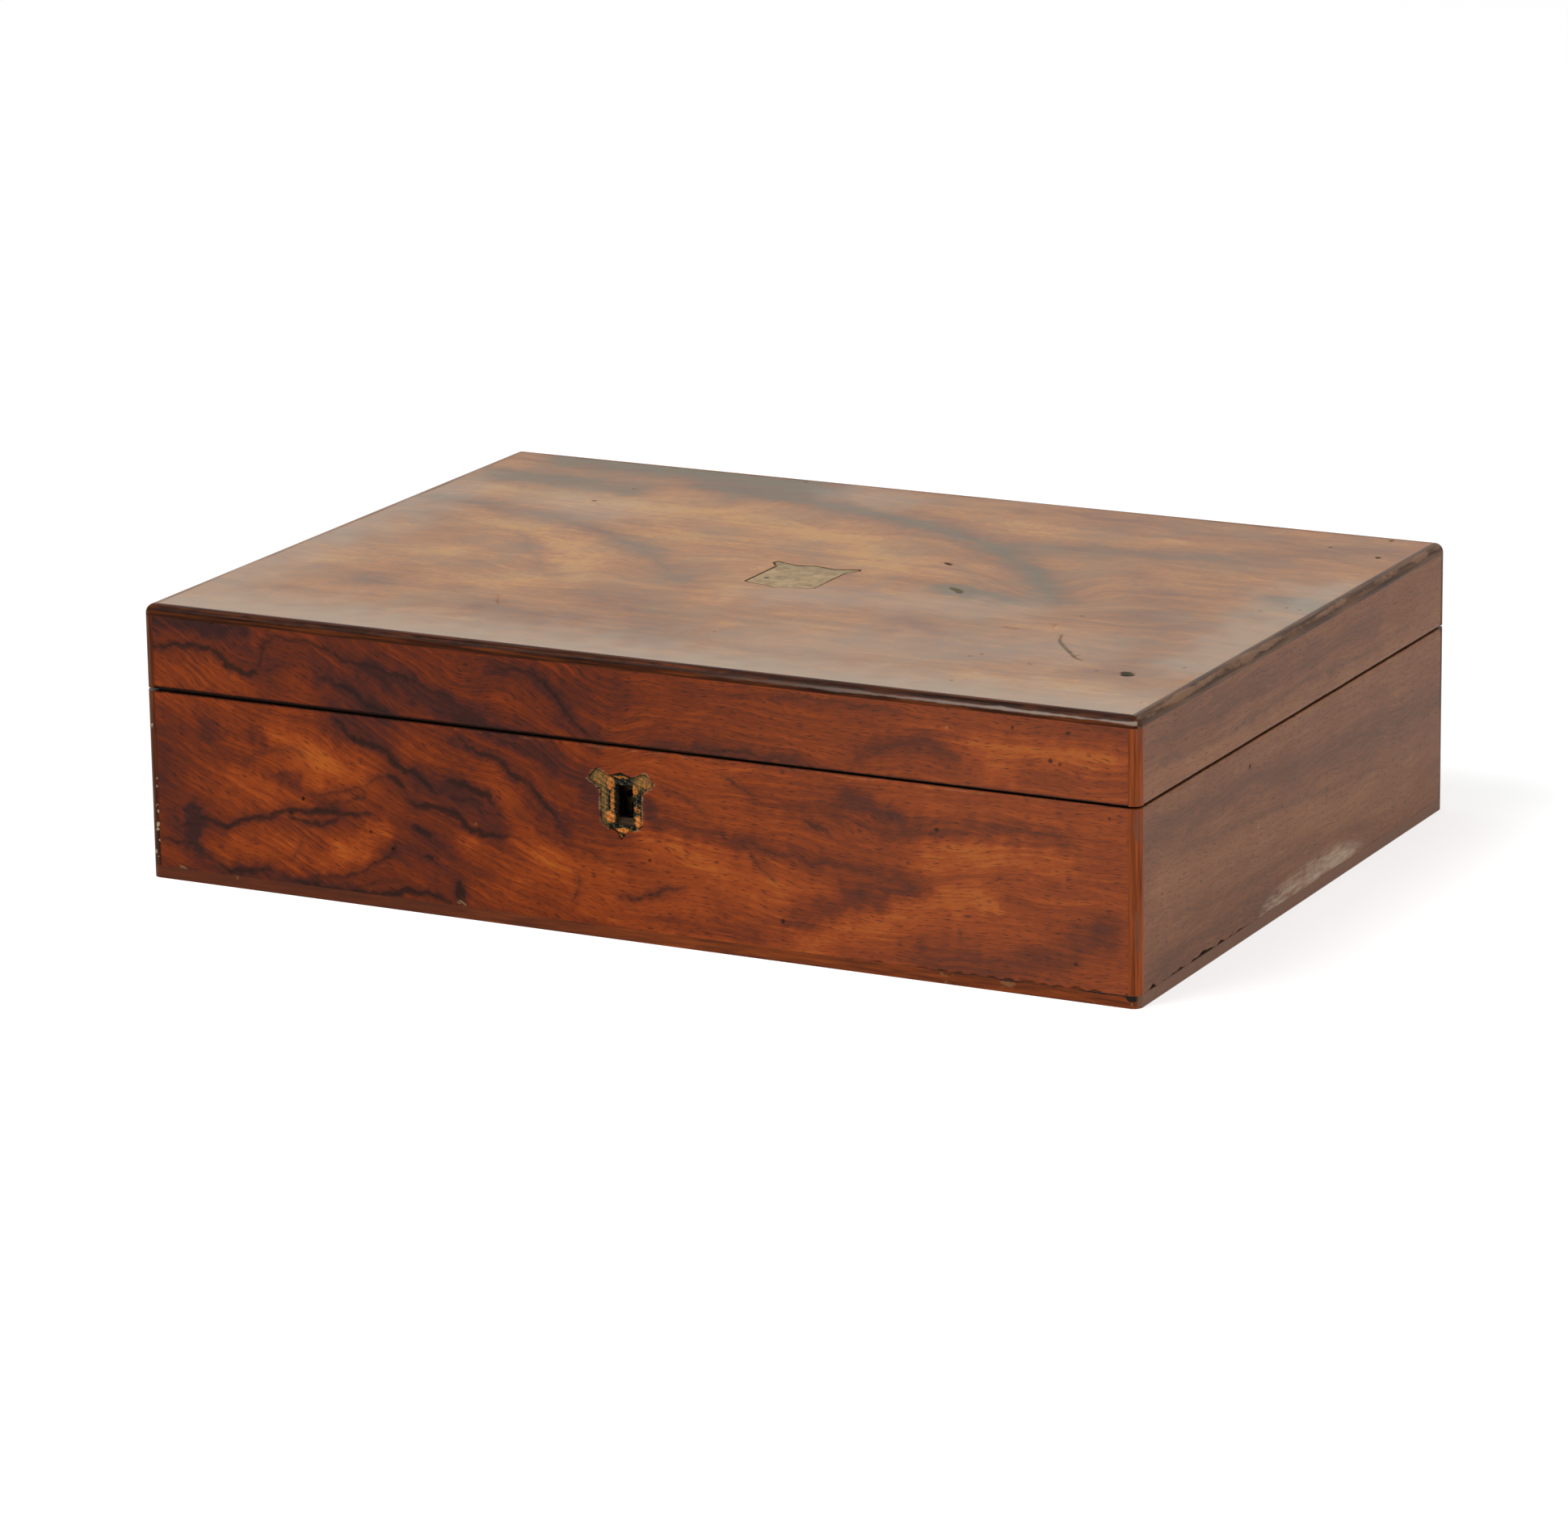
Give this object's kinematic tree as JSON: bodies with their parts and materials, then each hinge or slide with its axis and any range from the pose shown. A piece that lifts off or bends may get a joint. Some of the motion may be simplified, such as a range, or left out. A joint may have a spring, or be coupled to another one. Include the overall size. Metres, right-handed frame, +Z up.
{
  "type": "desk letter box",
  "caption": "Rectangular walnut-veneered desk box for letters and papers, with a hinged lid, beaded edges, a blank shield name plate and a hook-bolt lock.",
  "frame": {"origin": "centre of the footprint on the table, at the underside of the bottom board; the footprint includes the hinge barrels at the back", "axes": "+Z up, -Y towards the front with the keyhole, +X to the right as seen from the front"},
  "size_m": [0.35, 0.2506, 0.091],
  "materials": {
    "pine": "bare planed pine, darkened with age",
    "walnut_veneer": "figured walnut veneer, old polish",
    "walnut_bead": "solid walnut, old polish",
    "lining_paper": "matt lining paper",
    "brass": "tarnished brass",
    "steel": "dark steel",
    "crust": "torn wood with old glue and corrosion"
  },
  "bodies": {
    "base": {"bottom_board": "pine", "base_front_board": "pine", "base_back_board": "pine", "base_left_board": "pine", "base_right_board": "pine", "base_front_veneer": "walnut_veneer", "base_back_veneer": "walnut_veneer", "base_left_veneer": "walnut_veneer", "base_right_veneer": "walnut_veneer", "base_bead_front_left": "walnut_bead", "base_bead_front_right": "walnut_bead", "base_bead_back_left": "walnut_bead", "base_bead_back_right": "walnut_bead", "base_floor_lining": "lining_paper", "base_wall_lining": "lining_paper", "bottom_nails": "steel", "escutcheon_remains": "crust", "lock_case": "brass", "lock_cap": "brass", "lock_key_pin": "steel", "lock_screws": "brass", "hinge_left_base_leaf": "brass", "hinge_left_pin": "brass", "hinge_right_base_leaf": "brass", "hinge_right_pin": "brass", "hinge_base_screws": "brass"},
    "lid": {"lid_top_panel": "pine", "lid_front_board": "pine", "lid_back_board": "pine", "lid_left_board": "pine", "lid_right_board": "pine", "lid_top_veneer": "walnut_veneer", "lid_front_veneer": "walnut_veneer", "lid_back_veneer": "walnut_veneer", "lid_left_veneer": "walnut_veneer", "lid_right_veneer": "walnut_veneer", "lid_bead_front_left": "walnut_bead", "lid_bead_front_right": "walnut_bead", "lid_bead_back_left": "walnut_bead", "lid_bead_back_right": "walnut_bead", "lid_edge_front": "walnut_bead", "lid_edge_back": "walnut_bead", "lid_edge_left": "walnut_bead", "lid_edge_right": "walnut_bead", "lid_ceiling_lining": "lining_paper", "lid_wall_lining": "lining_paper", "link_plate": "brass", "link_plate_screws": "brass", "name_plate": "brass", "hinge_left_lid_leaf": "brass", "hinge_right_lid_leaf": "brass", "hinge_lid_screws": "brass"},
    "bolt": {"lock_bolt": "brass", "lock_spring": "steel"}
  },
  "joints": [
    {"name": "lid_hinge", "type": "hinge", "parent": "base", "child": "lid", "pos_m": [0, 0.1231, 0.06295], "axis": [-1, 0, 0], "range_deg": [0, 100]},
    {"name": "bolt_throw", "type": "slide", "parent": "base", "child": "bolt", "axis": [1, 0, 0], "range_m": [0, 0.0035]}
  ]
}
